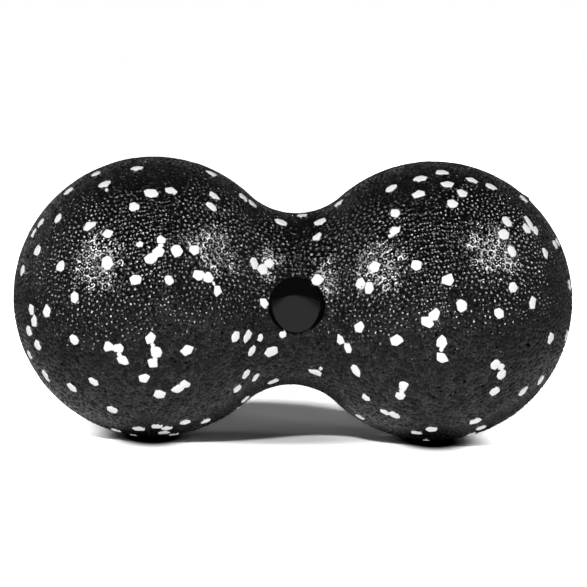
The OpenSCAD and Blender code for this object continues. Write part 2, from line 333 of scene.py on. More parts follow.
def add_rings(point, normal, rise, fan, dome_r):
    """Gives the domes of the front a ring of points more, between the top and the corners of the cell."""
    fine = point[fan[:, 0], 1] < FINE_BEFORE_Y
    whole, split = fan[~fine], fan[fine]
    spokes = np.concatenate([split[:, [0, 1]], split[:, [0, 2]]])
    spokes, at_spoke = np.unique(spokes, axis=0, return_inverse=True)
    first, second = at_spoke.reshape(2, -1) + len(point)
    hub, end = spokes[:, 0], spokes[:, 1]
    away = point[end] - point[hub]
    ring_r = RING_AT * np.linalg.norm(away, axis=1) / dome_r[hub]
    ring_n = unit(normal[hub] * (1 - RING_AT) + normal[end] * RING_AT)
    fan_site = np.concatenate([whole[:, 0], np.tile(split[:, 0], 3)])
    fan = np.concatenate([
        whole,
        np.stack([split[:, 0], first, second], 1),
        np.stack([first, split[:, 1], split[:, 2]], 1),
        np.stack([first, split[:, 2], second], 1),
    ])
    rise = np.concatenate([rise, rise[hub] * np.maximum(0, 1 - ring_r**2)])
    point = np.concatenate([point, point[hub] + away * RING_AT])
    return point, np.concatenate([normal, ring_n]), rise, fan, fan_site


# Pits between the beads. The large ones stand where the photo shows them: place along X, height Z and radius
# Pits are painted black and without gloss: painted shade, as the mesh has no hollow there
PITS = [
    [58.5, -8.9, 0.45], [65.9, -16.5, 0.4], [69.9, -29.2, 0.45], [36.9, -17.8, 0.35],
    [45.2, -7.2, 0.35], [36.5, -26.6, 0.35], [59.2, -32.8, 0.4], [98, -15.2, 0.6],
    [93.8, -12.8, 0.35], [93.9, -14.4, 0.35], [78.7, -31.6, 0.55], [90.3, -33, 0.4],
    [107.7, -27.5, 0.45], [109.5, -17.1, 0.35], [80.4, -8.1, 0.4], [-51.6, -22.7, 0.45],
    [-52.1, -40.6, 0.4], [-76.3, -47.5, 0.6], [-101.5, -21.7, 0.4], [9.6, -15.5, 0.45],
    [33.3, -8.6, 0.35],
]
# A pit shows smaller than its radius, because its edge is ragged
PIT_WIDER = 1.45
PIT_CHANCE = 0.03
PIT_R_VARIES = (0.28, 0.32)


def pit_radii(corner):
    """Radius of the pit in each corner between the domes, 0 where there is none."""
    pit_r = np.where(rng.random(len(corner)) < PIT_CHANCE, vary(PIT_R_VARIES, len(corner)), 0.0)
    for x, z, r in PITS:
        at, _ = skin(x, front_turn(x, z))
        pit_r[np.argmin(np.linalg.norm(corner - at, axis=1))] = PIT_WIDER * r
    return pit_r


def offsets_from_pits(corner, pit_r, triangles):
    """Where the corners of triangles lie from the nearest pit, measured in that pit's radius."""
    pits = np.nonzero(pit_r)[0]
    tree = KDTree(len(pits))
    for i, q in enumerate(pits):
        tree.insert(corner[q], i)
    tree.balance()
    nearest = pits[[tree.find(q)[1] for q in triangles.mean(1)]]
    return (triangles - corner[nearest][:, None, :]) / pit_r[nearest][:, None, None]


# What each corner of a face carries for the material: offsets from its dome and pit, and random values
DOME, PIT, KIND = slice(0, 3), slice(3, 6), slice(6, 9)


def pimpled_skin():
    """Points, normals and faces of the whole skin, and what the corners of the faces carry."""
    x, turn = spread_sites()
    tris = triangulate(x, turn)
    edges = edges_of(tris)
    site, site_n = skin(x, turn)
    corner, corner_n = cell_corners(site, tris)
    dome_r, dome_h = dome_sizes(site, edges)
    point = np.concatenate([site, corner])
    normal = np.concatenate([site_n, corner_n])
    rise = np.concatenate([dome_h, np.zeros(len(corner))])
    fan = cell_fans(tris, edges, len(site))
    point, normal, rise, fan, fan_site = add_rings(point, normal, rise, fan, dome_r)
    dome_offset = (point[fan] - site[fan_site][:, None, :]) / dome_r[fan_site][:, None, None]
    dome_kind = np.repeat(rng.random((len(site), 3))[fan_site][:, None, :], 3, 1)
    pit_offset = offsets_from_pits(corner, pit_radii(corner), point[fan])
    data = np.concatenate([dome_offset, pit_offset, dome_kind], 2)
    return point - normal * (VALLEY_DEPTH - rise)[:, None], normal, fan, data


# The round pocket at the front of the waist
BEVEL_WIDE, BEVEL_DEEP = 0.25, 0.28
BEVEL_OUT, BEVEL_UP = 0.6, 0.8
RIM_R = POCKET_R + BEVEL_WIDE
NO_PIT_NEAR = 9.0


def cut(points, normals, faces, data, f):
    """Keeps the part of the triangles where f > 0, cut along f = 0. Also returns the cut points."""
    inside = f[faces] > 0
    whole = inside.all(1)
    mixed = np.nonzero(inside.any(1) & ~whole)[0]
    new_p, new_n, made = list(points), list(normals), {}
    extra_f, extra_d = [], []
    for t in mixed:
        v = faces[t]
        ring, vals = [], []
        for q in range(3):
            i, j = v[q], v[(q + 1) % 3]
            if f[i] > 0:
                ring.append(i)
                vals.append(data[t, q])
            if (f[i] > 0) != (f[j] > 0):
                w = f[i] / (f[i] - f[j])
                key = (min(i, j), max(i, j))
                if key not in made:
                    made[key] = len(new_p)
                    new_p.append(points[i] + (points[j] - points[i]) * w)
                    new_n.append(unit(normals[i] + (normals[j] - normals[i]) * w))
                ring.append(made[key])
                vals.append(data[t, q] + (data[t, (q + 1) % 3] - data[t, q]) * w)
        for q in range(1, len(ring) - 1):
            extra_f.append([ring[0], ring[q], ring[q + 1]])
            extra_d.append([vals[0], vals[q], vals[q + 1]])
    faces = np.concatenate([faces[whole], np.array(extra_f)])
    data = np.concatenate([data[whole], np.array(extra_d)])
    return np.array(new_p), np.array(new_n), faces, data, np.array(sorted(made.values()))


def open_pocket(points, normals, faces, data):
    """Cuts the pocket's mouth out of the skin, as a true circle. Also returns the mouth's points in turn."""
    from_mouth = np.hypot(points[:, 0], points[:, 2]) - RIM_R
    # The back stays whole
    from_mouth = np.where(points[:, 1] < 0, from_mouth, BALL_R)
    points, normals, faces, data, rim = cut(points, normals, faces, data, from_mouth)
    fit = RIM_R / np.hypot(points[rim, 0], points[rim, 2])
    points[rim, 0] *= fit
    points[rim, 2] *= fit
    return points, normals, faces, data, rim[np.argsort(np.arctan2(points[rim, 2], points[rim, 0]))]


def join(low, high):
    """Faces between two rings of the pocket, seen from its middle."""
    nxt = np.roll(np.arange(len(low)), -1)
    return np.concatenate([
        np.stack([low, high, high[nxt]], 1),
        np.stack([low, high[nxt], low[nxt]], 1),
    ])


def line_pocket(points, normals, faces, data, rim):
    """Adds the pocket's bevel, wall and floor. Rings at a sharp edge are double, each with its normals."""
    n = len(rim)
    turn = np.arctan2(points[rim, 2], points[rim, 0])
    ring_x, ring_z = np.cos(turn), np.sin(turn)
    to_middle = np.stack([-ring_x, np.zeros(n), -ring_z], 1)
    to_front = np.tile([0.0, -1.0, 0.0], (n, 1))
    bevel_n = unit(to_middle * BEVEL_OUT + normals[rim] * BEVEL_UP)
    upper = np.stack([POCKET_R * ring_x, points[rim, 1] + BEVEL_DEEP, POCKET_R * ring_z], 1)
    lower = np.stack([POCKET_R * ring_x, np.full(n, -POCKET_FLOOR), POCKET_R * ring_z], 1)
    edge, wall_top, wall_low, floor_ring = (len(points) + q * n + np.arange(n) for q in range(4))
    floor_mid = len(points) + 4 * n
    points = np.concatenate([points, upper, upper, lower, lower, [[0.0, -POCKET_FLOOR, 0.0]]])
    normals = np.concatenate([normals, bevel_n, to_middle, to_middle, to_front, to_front[:1]])
    more = np.concatenate([
        join(rim, edge),
        join(wall_top, wall_low),
        np.stack([floor_ring, np.full(n, floor_mid), np.roll(floor_ring, -1)], 1),
    ])
    plain = np.zeros((len(more), 3, data.shape[2]))
    plain[:, :, PIT] = NO_PIT_NEAR
    return points, normals, np.concatenate([faces, more]), np.concatenate([data, plain])


def drop_unused(points, normals, faces):
    """Leaves out the points that no face uses."""
    used = np.unique(faces)
    where = np.full(len(points), -1)
    where[used] = np.arange(len(used))
    return points[used], normals[used], where[faces]


# How far the shading at the foot of a dome leans away from its middle
CELL_LEAN = 0.42


def foam_body():
    """The skin with its pocket. Each cell is shaded as a small dome, its corners leaning outward."""
    points, normals, faces, data = line_pocket(*open_pocket(*pimpled_skin()))
    points, normals, faces = drop_unused(points, normals, faces)
    obj = mesh_object("foam_body_skin", points, faces)
    vector_attribute(obj.data, "skin_normal", "POINT", normals)
    vector_attribute(obj.data, "dome_offset", "CORNER", data[:, :, DOME])
    vector_attribute(obj.data, "pit_offset", "CORNER", data[:, :, PIT])
    vector_attribute(obj.data, "dome_kind", "CORNER", data[:, :, KIND])
    offset = data[:, :, DOME]
    outward = np.minimum(1, 1 / np.maximum(np.linalg.norm(offset, axis=2, keepdims=True), 1e-6))
    leaning = unit(normals[faces] + CELL_LEAN * offset * outward)
    obj.data.normals_split_custom_set([tuple(v) for v in leaning.reshape(-1, 3)])
    return obj


# White granules. Those of the back are scattered as in the source, which turns from the top over the front
BACK_TURN, BACK_SPAN = 184, 172
BESIDE_EVERY, BESIDE_IN, BESIDE_STEP = 4, 0.97, 0.85
D_LEAST, D_SPAN = 0.85, 0.3
FEWEST_CORNERS, MORE_CORNERS, CORNER_TURN = 5, 3, 0.5
CORNER_R_LEAST, CORNER_R_SPAN = 0.95, 0.3
CORNER_ROUND = 0.14
ROUND_POINTS = (0, 0.33, 0.67, 1)
CHIP_PROUD = 0.02
# A chip's rings from its top down: how much of its outline, and how far above the skin
CHIP_RINGS = [(0.55, 0.0), (0.93, 0.0), (1.0, -0.09), (1.0, -GRANULE_DEPTH)]


def back_x(i):
    return (END_X - BACK_MARGIN) * (2 * (i + scatter(i, 3)) / BACK_GRANULES - 1)


def back_turn(i):
    return BACK_TURN + BACK_SPAN * scatter(i, 5)


def back_d(i):
    return GRANULE_D * (D_LEAST + D_SPAN * scatter(i, 7))


def beside(i):
    """A granule beside granule i of the back."""
    x = back_x(i) * BESIDE_IN
    way = 2 * math.pi * scatter(i, 9)
    step = BESIDE_STEP * back_d(i)
    turn = back_turn(i) + math.degrees(step * math.sin(way) / float(radius(x)))
    return [x + step * math.cos(way), turn, back_d(i + 1)]


def granule_list():
    """Place along X, turn and diameter of each granule, and for some the length and its direction."""
    front = [[x, float(front_turn(x, z)), *form] for x, z, *form in FRONT]
    back = [[back_x(i), back_turn(i), back_d(i)] for i in range(BACK_GRANULES)]
    back += [beside(i) for i in range(0, BACK_GRANULES, BESIDE_EVERY)]
    # The source turns from the top over the front, this file from +Y over the top
    return front + [[x, math.radians(90 + turn), d] for x, turn, d in back]


def granule_outline(i, d, longer=1, way=0):
    """The source's uneven polygon, stretched and turned, with its corners rounded a little."""
    n = FEWEST_CORNERS + math.floor(MORE_CORNERS * scatter(i, 1))
    poly = []
    for k in range(n):
        t = math.radians(360 / n * (k + CORNER_TURN * scatter(i, 10 + k)))
        r = d / 2 * (CORNER_R_LEAST + CORNER_R_SPAN * scatter(i, 20 + k))
        q = complex(r * math.cos(t) * math.sqrt(longer), r * math.sin(t) / math.sqrt(longer))
        q *= complex(math.cos(math.radians(way)), math.sin(math.radians(way)))
        poly.append((q.real, q.imag))
    out = []
    for k in range(n):
        p0, p1, p2 = (np.array(poly[(k + q) % n]) for q in (-1, 0, 1))
        a, b = p1 + (p0 - p1) * CORNER_ROUND, p1 + (p2 - p1) * CORNER_ROUND
        for w in ROUND_POINTS:
            out.append((1 - w) ** 2 * a + 2 * w * (1 - w) * p1 + w * w * b)
    return np.array(out)


def chip_points(x, turn, line):
    """Rings of points that follow the skin, the last one on the flat underside, then the two middles."""
    middle, normal = skin(x, turn)
    ln = float(lean(x))
    radial = np.array([0.0, math.cos(turn), math.sin(turn)])
    along = math.cos(ln) * np.array([1.0, 0, 0]) - math.sin(ln) * radial
    # The source's local Y points against the turn of this file
    across = np.array([0.0, math.sin(turn), -math.cos(turn)])
    points = []
    for size, up in CHIP_RINGS:
        for a, b in line * size:
            w = middle + along * a + across * b
            if up == -GRANULE_DEPTH:
                points.append(w + normal * up)
                continue
            at_x = float(np.clip(w[0], -END_X + END_CLEAR, END_X - END_CLEAR))
            points.append(skin(at_x, math.atan2(w[2], w[1]), CHIP_PROUD + up)[0])
    return points + [skin(x, turn, CHIP_PROUD)[0], middle - normal * GRANULE_DEPTH]


def chip(i, x, turn, *form):
    """Points and faces of one granule."""
    line = granule_outline(i, *form)
    points = chip_points(x, turn, line)
    n = len(line)
    last = (len(CHIP_RINGS) - 1) * n
    top, bottom = last + n, last + n + 1
    faces = []
    for k in range(n):
        m = (k + 1) % n
        faces.append([top, k, m])
        for low in range(0, last, n):
            high = low + n
            faces.append([low + k, high + k, high + m])
            faces.append([low + k, high + m, low + m])
        faces.append([bottom, last + m, last + k])
    return points, faces


# The disc: nearly flat in the middle of its resin and steeper towards the rim
FLAT_R = DISC_R - DISC_ROUND
MID_CURVE, RIM_CURVE = 0.0072, 3.1
DISC_BEVEL = 0.1
ROUND_STEPS, RESIN_STEPS, N_TURN = 9, 23, 128


def resin_drop(r):
    """How far the resin lies below its highest point, at a distance from the middle."""
    return MID_CURVE * (r * r / 2 + RIM_CURVE * r**6 / (6 * FLAT_R**4))


def disc_section():
    """Half section of the disc, as distances from the middle and heights: back, rounded rim and resin."""
    rim_slope = math.atan(MID_CURVE * FLAT_R * (1 + RIM_CURVE))
    round_r = DISC_R - DISC_ROUND * (1 - math.sin(rim_slope))
    round_h = DISC_T + DISC_DOME - resin_drop(round_r) - DISC_ROUND * math.cos(rim_slope)
    section = [(0.0, 0.0), (DISC_R - DISC_BEVEL, 0.0), (DISC_R, DISC_BEVEL)]
    for q in range(ROUND_STEPS + 1):
        t = (math.pi / 2 - rim_slope) * q / ROUND_STEPS
        section.append((DISC_R - DISC_ROUND * (1 - math.cos(t)), round_h + DISC_ROUND * math.sin(t)))
    for q in range(1, RESIN_STEPS + 1):
        r = round_r * (1 - q / RESIN_STEPS)
        section.append((r, DISC_T + DISC_DOME - resin_drop(r)))
    return section


def turned(section):
    """Points and faces of a section turned around the pocket's axis, from the pocket's floor to the front."""
    points = [(0, -POCKET_FLOOR, 0)]
    for r, h in section[1:-1]:
        for q in range(N_TURN):
            t = 2 * math.pi * q / N_TURN
            points.append((r * math.cos(t), -POCKET_FLOOR - h, r * math.sin(t)))
    top = len(points)
    points.append((0, -POCKET_FLOOR - section[-1][1], 0))
    last = top - N_TURN
    faces = []
    for q in range(N_TURN):
        m = (q + 1) % N_TURN
        faces.append([0, 1 + q, 1 + m])
        for low in range(1, last, N_TURN):
            high = low + N_TURN
            faces.append([low + q, high + m, low + m])
            faces.append([low + q, high + q, high + m])
        faces.append([top, last + m, last + q])
    return points, faces


# Thin ridges that the mould leaves on the skin. A section's points are places across and heights from the
# top, and those without a height lie below the skin
RIDGE_SUNK = 0.5
RIDGE_SECTION = [(-1, None), (-0.4, -0.04), (0, 0), (0.4, -0.04), (1, None)]


def ridge(x, turn, high, half_wide, closed=False):
    """A ridge along the skin through the given places. An open one sinks into the skin at both ends."""
    p, n = skin(x, turn)
    run = np.roll(p, -1, 0) - np.roll(p, 1, 0)
    high = np.array(high, float)
    if not closed:
        run[0], run[-1] = p[1] - p[0], p[-1] - p[-2]
        high[0] = high[-1] = -RIDGE_SUNK
    side = unit(np.cross(n, run))
    points = []
    for i in range(len(p)):
        for across, up in RIDGE_SECTION:
            up = -RIDGE_SUNK if up is None else max(high[i] + up, -RIDGE_SUNK)
            points.append(p[i] + side[i] * across * half_wide + n[i] * up)
    faces = []
    count = len(RIDGE_SECTION)
    for i in range(len(p) if closed else len(p) - 1):
        a, b = i * count, (i + 1) % len(p) * count
        for e in range(count):
            g = (e + 1) % count
            faces += [[a + e, b + e, b + g], [a + e, b + g, a + g]]
    return np.array(points), np.array(faces)


# The line where the two mould halves met: uneven, in steps, with one loose flap at the upper right
FLASH_STEPS, FLASH_RUN = 420, 7
FLASH_HALF_WIDE = 0.4
FLASH_LOW, FLASH_SPAN = 0.04, 0.16
FLASH_VARIES = (0.6, 0.4)
FLAP_X, FLAP_HALF_LONG, FLAP_HIGH = 98.8, 1.7, 0.7


def flash_line():
    """Runs over the top to the +X pole and back along the underside."""
    along = length[-1] * np.arange(FLASH_STEPS) / FLASH_STEPS
    arc = np.concatenate([along, length[-1] - along])
    turn = np.repeat([math.pi / 2, -math.pi / 2], FLASH_STEPS)
    steps = np.repeat(rng.random(2 * FLASH_STEPS // FLASH_RUN), FLASH_RUN)
    high = FLASH_LOW + FLASH_SPAN * steps * vary(FLASH_VARIES, len(steps))
    from_flap = (arc - np.interp(FLAP_X, line_x, length)) / FLAP_HALF_LONG
    flap = (np.abs(from_flap) < 1) & (turn > 0)
    high[flap] = FLAP_HIGH * np.sqrt(0.5 + 0.5 * from_flap[flap])
    return ridge(np.interp(arc, length, line_x), turn, high, FLASH_HALF_WIDE, closed=True)


# Small marks on the front: short lines, as places along X and heights Z, and rings, with their radius too
MARK_LINES = [
    [[-71.8, 15.1], [-73.6, 9.5], [-75, 3.9]],
    [[-85.4, 30], [-81.7, 31.8], [-77.5, 33.2]],
    [[12.3, 14.2], [13.6, 13], [12.9, 11.5], [14.8, 9.4]],
]
MARK_RINGS = [[-11.2, 11.3, 1.1], [-14.6, 7.7, 1], [20.6, 8.2, 1.1]]
MARK_HALF_WIDE, MARK_HIGH = 0.25, 0.12
LINE_POINTS, CIRCLE_POINTS = 16, 24


def mark(x, z, closed):
    return ridge(x, front_turn(x, z), np.full(len(x), MARK_HIGH), MARK_HALF_WIDE, closed)


def mark_list():
    out = []
    for line in MARK_LINES:
        t = np.linspace(0, len(line) - 1, LINE_POINTS)
        x, z = (np.interp(t, range(len(line)), values) for values in zip(*line))
        out.append(mark(x, z, False))
    t = np.linspace(0, 2 * math.pi, CIRCLE_POINTS, endpoint=False)
    for x, z, r in MARK_RINGS:
        out.append(mark(x + r * np.cos(t), z + r * np.sin(t), True))
    return out


# Helpers for shader nodes
def node(tree, kind, **values):
    n = tree.nodes.new(kind)
    for key, v in values.items():
        setattr(n, key, v)
    return n


def fill(tree, socket, value):
    """Links another node's output to a socket, or sets the socket to a plain value."""
    if isinstance(value, bpy.types.NodeSocket):
        tree.links.new(value, socket)
    else:
        socket.default_value = value


def attribute(tree, name):
    return node(tree, "ShaderNodeAttribute", attribute_name=name).outputs["Vector"]


def parts(tree, vector):
    """The X, Y and Z of a vector, by name."""
    n = node(tree, "ShaderNodeSeparateXYZ")
    tree.links.new(vector, n.inputs["Vector"])
    return n.outputs


def here(tree):
    """Place on the object."""
    return node(tree, "ShaderNodeTexCoord").outputs["Object"]


def vmath(tree, operation, a, b=None):
    n = node(tree, "ShaderNodeVectorMath", operation=operation)
    tree.links.new(a, n.inputs[0])
    if b is not None:
        fill(tree, n.inputs["Scale" if operation == "SCALE" else 1], b)
    return n.outputs["Value" if operation == "LENGTH" else "Vector"]


def math_node(tree, operation, a, b=0.0):
    n = node(tree, "ShaderNodeMath", operation=operation)
    fill(tree, n.inputs[0], a)
    fill(tree, n.inputs[1], b)
    return n.outputs["Value"]


def product(tree, first, *others):
    for value in others:
        first = math_node(tree, "MULTIPLY", first, value)
    return first


def ramp(tree, value, low, high, to_low, to_high, smooth=True):
    n = node(tree, "ShaderNodeMapRange", interpolation_type="SMOOTHSTEP" if smooth else "LINEAR")
    names = ("Value", "From Min", "From Max", "To Min", "To Max")
    for name, v in zip(names, (value, low, high, to_low, to_high)):
        fill(tree, n.inputs[name], v)
    return n.outputs["Result"]


def between(tree, factor, at_0, at_1):
    """A straight ramp from one value to another, for a factor between 0 and 1."""
    return ramp(tree, factor, 0.0, 1.0, at_0, at_1, smooth=False)


def mix(tree, factor, a, b, kind="FLOAT"):
    n = node(tree, "ShaderNodeMix", data_type=kind)
    for name, v in (("Factor", factor), ("A", a), ("B", b)):
        fill(tree, n.inputs[name], v)
    return n.outputs["Result"]


def noise(tree, scale, detail, output="Fac"):
    n = node(tree, "ShaderNodeTexNoise")
    n.inputs["Scale"].default_value = scale
    n.inputs["Detail"].default_value = detail
    tree.links.new(here(tree), n.inputs["Vector"])
    return n.outputs[output]


def material(name):
    m = bpy.data.materials.new(name)
    m.use_nodes = True
    return m, m.node_tree, m.node_tree.nodes["Principled BSDF"]


# Black foam. A distance from the middle of a dome is 0 at its top and 1 at its foot
DOME_SLOPE, RIM_SLOPE = 0.66, 0.58
SLOPE_TURNS, SLOPE_ENDS = (0.55, 0.98), (0.96, 1.06)
SLOPE_BY_DOME, SLOPE_BY_PATCH = (0.75, 1.15), (0.8, 1.15)
DOME_ASKEW, VALLEY_ASKEW = 0.3, 0.13
ASKEW_ENDS = (0.9, 1.05)
GRAIN_TILT = 0.15
SPEC_LOW, SPEC_HIGH = 0.25, 0.85
SPEC_BY_DOME = (0.35, 1.4)
DULL_FROM, DULL_TO, SLOPE_GLOSS = (0.25, 0.5), (0.95, 1.05), 0.58
# Less gloss near the middle of the waist: painted shade that dims the highlights there
WAIST_ENDS, WAIST_GLOSS = (0.018, 0.045), 0.7
FOAM_ROUGHNESS = 0.05
PATCH_FINE, PIT_FINE, GRAIN_FINE, GLINT_FINE = 110.0, 900.0, 1000.0, 1150.0
DETAIL, GLINT_DETAIL = 1.0, 0.0
NOISE_RANGE = (0.3, 0.7)
PIT_EDGE = (1.3, 1.55)
# The pits' black is painted shade
PIT_PAINTED_SHADE, FOAM_BLACK = (0.0003, 0.0003, 0.0003, 1), (0.011, 0.011, 0.0113, 1)
MIDDLE_GREY = (0.5, 0.5, 0.5)


def foam_normal(t, offset, r, kind):
    """The skin's own normal, turned by the slope of the dome, by a lean of its own and by a fine grain."""
    slope = product(
        t,
        ramp(t, r, *SLOPE_TURNS, DOME_SLOPE, RIM_SLOPE),
        ramp(t, r, *SLOPE_ENDS, 1.0, 0.0),
        between(t, parts(t, kind)["X"], *SLOPE_BY_DOME),
        ramp(t, noise(t, PATCH_FINE, DETAIL), *NOISE_RANGE, *SLOPE_BY_PATCH),
    )
    askew = vmath(t, "SUBTRACT", kind, MIDDLE_GREY)
    askew = vmath(t, "SCALE", askew, ramp(t, r, *ASKEW_ENDS, DOME_ASKEW, VALLEY_ASKEW))
    tilt = vmath(t, "ADD", vmath(t, "SCALE", offset, slope), askew)
    grain = vmath(t, "SUBTRACT", noise(t, GRAIN_FINE, DETAIL, "Color"), MIDDLE_GREY)
    turned_n = vmath(t, "ADD", attribute(t, "skin_normal"), tilt)
    return vmath(t, "NORMALIZE", vmath(t, "ADD", turned_n, vmath(t, "SCALE", grain, GRAIN_TILT)))


def foam_gloss(t, r, kind, no_pit):
    """Glints that vary by grain and by dome and are duller on the domes' slopes, with painted shade: duller
    at the waist, none in a pit.
    """
    on_slope = product(t, ramp(t, r, *DULL_FROM, 0.0, 1.0), ramp(t, r, *DULL_TO, 1.0, 0.0))
    from_waist = math_node(t, "ABSOLUTE", parts(t, here(t))["X"])
    return product(
        t,
        ramp(t, noise(t, GLINT_FINE, GLINT_DETAIL), *NOISE_RANGE, SPEC_LOW, SPEC_HIGH, smooth=False),
        between(t, parts(t, kind)["Y"], *SPEC_BY_DOME),
        between(t, on_slope, 1.0, SLOPE_GLOSS),
        no_pit,
        ramp(t, from_waist, *WAIST_ENDS, WAIST_GLOSS, 1.0),
    )


def black_foam():
    m, t, s = material("black_foam")
    offset, kind = attribute(t, "dome_offset"), attribute(t, "dome_kind")
    r = vmath(t, "LENGTH", offset)
    ragged = math_node(t, "ADD", vmath(t, "LENGTH", attribute(t, "pit_offset")), noise(t, PIT_FINE, DETAIL))
    no_pit = ramp(t, ragged, *PIT_EDGE, 0.0, 1.0)
    t.links.new(foam_normal(t, offset, r, kind), s.inputs["Normal"])
    # The pits are painted black: painted shade
    t.links.new(mix(t, no_pit, PIT_PAINTED_SHADE, FOAM_BLACK, "RGBA"), s.inputs["Base Color"])
    t.links.new(foam_gloss(t, r, kind, no_pit), s.inputs["Specular IOR Level"])
    s.inputs["Roughness"].default_value = FOAM_ROUGHNESS
    return m


def plain(name, colour, roughness, specular):
    """A material that is the same all over."""
    m, _, s = material(name)
    s.inputs["Base Color"].default_value = (*colour, 1)
    s.inputs["Roughness"].default_value = roughness
    s.inputs["Specular IOR Level"].default_value = specular
    return m


# The pieces
foam = foam_body()
chips = mesh_object("white_granule_chips", *merged(chip(i, *g) for i, g in enumerate(granule_list())))
disc = mesh_object("centre_disc_resin", *turned(disc_section()))
flash = mesh_object("mould_flash_line", *flash_line())
marks = mesh_object("mould_marks", *merged(mark_list()))

foam_m = black_foam()
white_m = plain("white_foam", (0.9, 0.9, 0.89), roughness=0.6, specular=0.08)
disc_m = plain("disc_gloss", (0.0013, 0.0013, 0.0014), roughness=0.04, specular=0.6)
flash_m = plain("flash_foam", (0.0095, 0.0095, 0.0098), roughness=0.3, specular=0.5)

for obj, mat, slot in (
    (foam, foam_m, "black_foam"),
    (chips, white_m, "white_foam"),
    (disc, disc_m, "disc_gloss"),
    (flash, flash_m, "black_foam"),
    (marks, flash_m, "black_foam"),
):
    obj.data.materials.append(mat)
    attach(obj, "root")
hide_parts("foam_body")
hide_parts("white_granules")
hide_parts("centre_disc")

# The floor (metres)
FLOOR_HALF = 6.0
FLOOR_GAIN = 2.2
# Painted shade on the floor as the gloss sees it: darker to the sides, to the back and at the left
FADE_SIDES, FLOOR_FADE = (0.09, 0.3), 0.35
FADE_BACK, FLOOR_FAR = (0.05, 0.4), 0.55
LEFT_END, LEFT_GLOSS, RIGHT_GLOSS = (-0.13, -0.08), 0.86, 0.97
# Past these distances from the middle, a painted glow whitens the floor for the camera over the lamps' shadow
BARE = (0.074, 0.090)
# Painted shadows where the balls touch the floor
CONTACT_SHADOW_WIDE, CONTACT_SHADOW_DEEP, CONTACT_SHADOW_DEEP_GLOSS = 0.016, 0.040, 0.03
CONTACT_SHADOW_EDGE = (0.6, 1.3)
# A painted shadow under the waist, seen only by the camera
WAIST_SHADOW_X, WAIST_SHADOW_WIDE, WAIST_SHADOW_DEEP = -0.012, 0.055, 0.030
WAIST_SHADOW_EDGE, WAIST_SHADOW_DARK = (0.4, 1.25), 0.45
# A glow of the floor, painted light that lights the object from below, stronger behind it
TABLE_BACK, TABLE_LIGHT, TABLE_LIGHT_BACK = (0.0, 0.25), 0.42, 1.5


def ray_kinds(t):
    """The kinds of rays, by name, and 1 for those that see the plain white background."""
    path = node(t, "ShaderNodeLightPath").outputs
    return path, math_node(t, "MAXIMUM", path["Is Camera Ray"], path["Is Transmission Ray"])


def painted_shadow_patch(t, across, deep, edge, dark):
    """A soft painted shadow, from its place across and deep measured in its own sizes."""
    n = node(t, "ShaderNodeCombineXYZ")
    t.links.new(across, n.inputs["X"])
    t.links.new(deep, n.inputs["Y"])
    return ramp(t, vmath(t, "LENGTH", n.outputs["Vector"]), *edge, dark, 1.0)


def painted_contact_shadows(t, place, from_middle, direct):
    """A soft painted shadow where each ball touches the floor."""
    across = math_node(t, "SUBTRACT", from_middle, HALF_SPACING * MM)
    deep = between(t, direct, 1 / CONTACT_SHADOW_DEEP_GLOSS, 1 / CONTACT_SHADOW_DEEP)
    across = product(t, across, 1 / CONTACT_SHADOW_WIDE)
    return painted_shadow_patch(t, across, product(t, place["Y"], deep), CONTACT_SHADOW_EDGE, 0.0)


def painted_waist_shadow(t, place):
    """A fainter painted shadow under the waist, which only the camera sees."""
    across = product(t, math_node(t, "SUBTRACT", place["X"], WAIST_SHADOW_X), 1 / WAIST_SHADOW_WIDE)
    return painted_shadow_patch(t, across, product(t, place["Y"], 1 / WAIST_SHADOW_DEEP), WAIST_SHADOW_EDGE, WAIST_SHADOW_DARK)


def painted_floor_fade(t, place, from_middle):
    """Painted shade: in the gloss the floor fades away to the back and the sides, and a little more at the
    left.
    """
    fade_x = ramp(t, from_middle, *FADE_SIDES, 1.0, FLOOR_FADE)
    fade_y = ramp(t, place["Y"], *FADE_BACK, 1.0, FLOOR_FAR)
    return product(t, fade_x, fade_y, ramp(t, place["X"], *LEFT_END, LEFT_GLOSS, RIGHT_GLOSS))


def floor_glow(t, place, from_middle, path, direct):
    """Painted light: a glow that only the camera sees, which turns the floor past the balls into the plain
    white of the background over the lamps' shadow there, and a glow that stands in for the light that a white
    table gives the object from below, stronger behind it, where no lamp reaches."""
    painted_glow_outside = product(t, ramp(t, from_middle, *BARE, 0.0, 1.0), direct)
    table = ramp(t, place["Y"], *TABLE_BACK, TABLE_LIGHT, TABLE_LIGHT_BACK)
    return math_node(t, "ADD", painted_glow_outside, product(t, path["Is Diffuse Ray"], table))


def floor_material():
    m = bpy.data.materials.new("floor")
    m.use_nodes = True
    t = m.node_tree
    t.nodes.clear()
    path, direct = ray_kinds(t)
    place = parts(t, here(t))
    from_middle = math_node(t, "ABSOLUTE", place["X"])
    # The camera sees the open floor brighter than it is, with a painted shadow under the waist
    open_floor = product(t, painted_waist_shadow(t, place), FLOOR_GAIN)
    level = mix(t, direct, painted_floor_fade(t, place, from_middle), open_floor)
    # Painted shadows where the balls touch the floor
    level = product(t, level, painted_contact_shadows(t, place, from_middle, direct))
    grey = node(t, "ShaderNodeCombineColor")
    for channel in ("Red", "Green", "Blue"):
        t.links.new(level, grey.inputs[channel])
    diffuse = node(t, "ShaderNodeBsdfDiffuse")
    t.links.new(grey.outputs["Color"], diffuse.inputs["Color"])
    glow = node(t, "ShaderNodeEmission")
    t.links.new(floor_glow(t, place, from_middle, path, direct), glow.inputs["Strength"])
    both = node(t, "ShaderNodeAddShader")
    t.links.new(diffuse.outputs["BSDF"], both.inputs[0])
    t.links.new(glow.outputs["Emission"], both.inputs[1])
    out = node(t, "ShaderNodeOutputMaterial")
    t.links.new(both.outputs["Shader"], out.inputs["Surface"])
    return m


